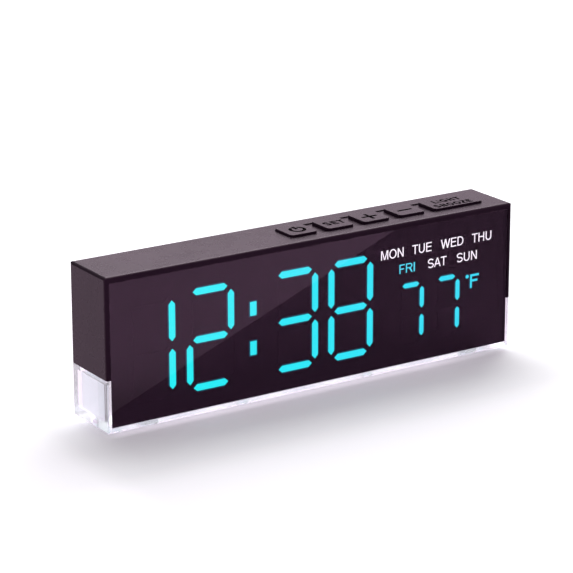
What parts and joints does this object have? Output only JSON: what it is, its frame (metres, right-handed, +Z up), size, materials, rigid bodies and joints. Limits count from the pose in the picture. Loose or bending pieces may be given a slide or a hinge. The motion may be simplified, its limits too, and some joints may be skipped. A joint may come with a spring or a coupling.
{
  "type": "digital alarm clock",
  "caption": "Bar-shaped digital alarm clock: black upper case on a clear glowing base, full-width dark glossy front with segment time and temperature, push keys on top.",
  "frame": {"origin": "centre of the footprint, on the surface that the feet stand on", "axes": "+X to the right seen from the front, along the width; +Y from the front to the back; +Z up; the display faces -Y"},
  "size_m": [0.16, 0.023, 0.0532],
  "materials": {
    "black_case": "fine matte moulded texture",
    "black_door": "fine matte moulded texture",
    "black_key": "satin moulded, engraved legends",
    "clear_shell": "clear, polished",
    "front_lens": "smoked, high gloss",
    "tape": "matte foam tape",
    "film": "matte printed film",
    "reflector": "matte white",
    "lit_cyan": "milky, lit cyan from behind",
    "unlit": "milky, dark while unlit",
    "legend": "milky, lit white from behind",
    "board": "white solder resist on glass-fibre board",
    "chip": "matte moulded",
    "sensor_bead": "dipped epoxy bead",
    "light_chip": "yellowish phosphor in white body",
    "plunger": "moulded",
    "steel": "plated",
    "contact": "sprung strip, plated",
    "milky": "milky, evenly lit",
    "clear_foot": "clear soft, slightly tacky"
  },
  "bodies": {
    "case": {"upper_case": "black_case", "clear_base": "clear_shell", "front_panel": "front_lens", "panel_tape": "tape", "mask_film": "film", "segment_reflector": "reflector", "lit_segments": "lit_cyan", "unlit_segments": "unlit", "weekday_windows": "legend", "display_board": "board", "key_board": "board", "main_board": "board", "driver_chips": "chip", "control_chip": "chip", "tact_switches": "chip", "key_header": "chip", "main_header": "chip", "buzzer": "chip", "usb_tongue": "chip", "temperature_sensor": "sensor_bead", "display_leds": "light_chip", "night_light_leds": "light_chip", "usb_inlet": "steel", "clock_crystal": "steel", "coin_cell": "steel", "case_screws": "steel", "board_screws": "steel", "battery_contacts": "contact", "light_diffuser": "milky", "rubber_feet": "clear_foot"},
    "power_key": {"key_power": "black_key", "plunger_power": "plunger"},
    "set_key": {"key_set": "black_key", "plunger_set": "plunger"},
    "plus_key": {"key_plus": "black_key", "plunger_plus": "plunger"},
    "minus_key": {"key_minus": "black_key", "plunger_minus": "plunger"},
    "snooze_key": {"key_snooze": "black_key", "plunger_snooze": "plunger"},
    "door": {"battery_door": "black_door"}
  },
  "joints": [
    {"name": "power_key_press", "type": "slide", "parent": "case", "child": "power_key", "axis": [0, 0, 1], "range_m": [-0.0003, 0], "stiffness_N_per_m": 500, "springref_m": 0.001},
    {"name": "set_key_press", "type": "slide", "parent": "case", "child": "set_key", "axis": [0, 0, 1], "range_m": [-0.0003, 0], "stiffness_N_per_m": 500, "springref_m": 0.001},
    {"name": "plus_key_press", "type": "slide", "parent": "case", "child": "plus_key", "axis": [0, 0, 1], "range_m": [-0.0003, 0], "stiffness_N_per_m": 500, "springref_m": 0.001},
    {"name": "minus_key_press", "type": "slide", "parent": "case", "child": "minus_key", "axis": [0, 0, 1], "range_m": [-0.0003, 0], "stiffness_N_per_m": 500, "springref_m": 0.001},
    {"name": "snooze_key_press", "type": "slide", "parent": "case", "child": "snooze_key", "axis": [0, 0, 1], "range_m": [-0.0003, 0], "stiffness_N_per_m": 500, "springref_m": 0.001},
    {"name": "battery_door_pull", "type": "slide", "parent": "case", "child": "door", "axis": [0, 1, 0], "range_m": [0, 0.016]}
  ]
}
